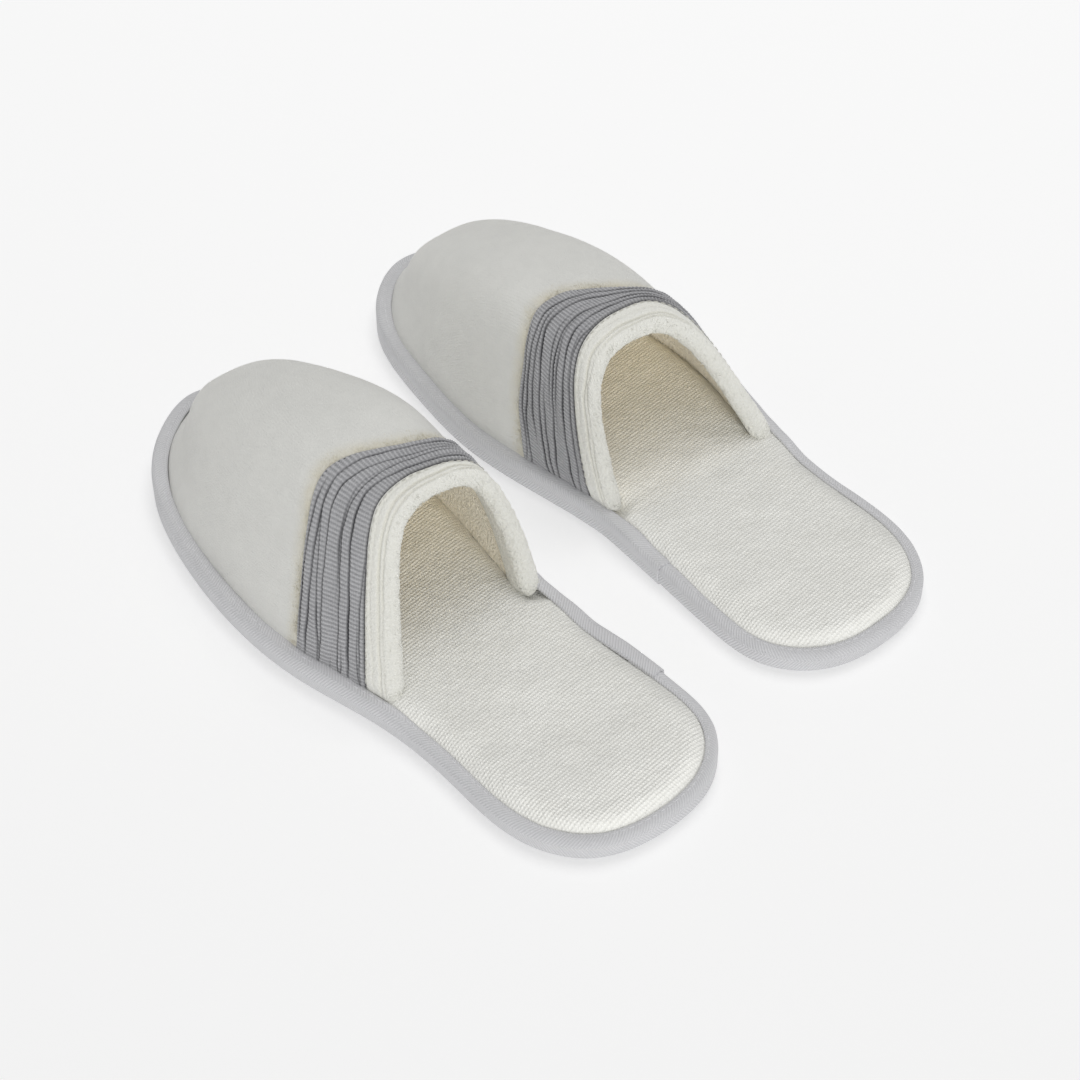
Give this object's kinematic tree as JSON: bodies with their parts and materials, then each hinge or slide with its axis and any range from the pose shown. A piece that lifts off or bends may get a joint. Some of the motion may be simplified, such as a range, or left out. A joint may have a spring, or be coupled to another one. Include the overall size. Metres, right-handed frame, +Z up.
{
  "type": "spa slippers",
  "caption": "Pair of closed-toe spa slippers with a padded terry insole, a taped sole edge, a velour toe cover, a gathered knit band and a rolled terry collar.",
  "frame": {"origin": "on the floor, under the middle of the pair's bounding box", "axes": "+X from the left slipper to the right one, +Y towards the toes, +Z up"},
  "size_m": [0.2302, 0.2894, 0.0719],
  "materials": {
    "outsole_foam": "matte closed-cell foam sheet with a fine moulded dimple grid",
    "midsole_foam": "soft open foam sheet",
    "insole_terry": "warm white cotton terry with short loops",
    "binding_tape": "cool light grey herringbone twill tape",
    "sewing_thread": "light grey spun sewing thread",
    "vamp_velour": "off-white sheared velour",
    "interlining_foam": "thin soft foam wadding",
    "lining_terry": "cream terry",
    "collar_terry": "white fluffy terry, folded over the throat's edge",
    "band_knit": "mid grey ribbed knit gathered in folds"
  },
  "bodies": {
    "left_slipper": {"left_outsole": "outsole_foam", "left_midsole": "midsole_foam", "left_insole": "insole_terry", "left_binding_tape": "binding_tape", "left_binding_thread": "sewing_thread", "left_vamp": "vamp_velour", "left_interlining": "interlining_foam", "left_lining": "lining_terry", "left_collar": "collar_terry", "left_band": "band_knit", "left_collar_thread": "sewing_thread", "left_band_thread": "sewing_thread"},
    "right_slipper": {"right_outsole": "outsole_foam", "right_midsole": "midsole_foam", "right_insole": "insole_terry", "right_binding_tape": "binding_tape", "right_binding_thread": "sewing_thread", "right_vamp": "vamp_velour", "right_interlining": "interlining_foam", "right_lining": "lining_terry", "right_collar": "collar_terry", "right_band": "band_knit", "right_collar_thread": "sewing_thread", "right_band_thread": "sewing_thread"}
  },
  "joints": [
    {"name": "right_slipper_lift", "type": "slide", "parent": "left_slipper", "child": "right_slipper", "axis": [0, 0, 1], "range_m": [0, 0.15]}
  ]
}
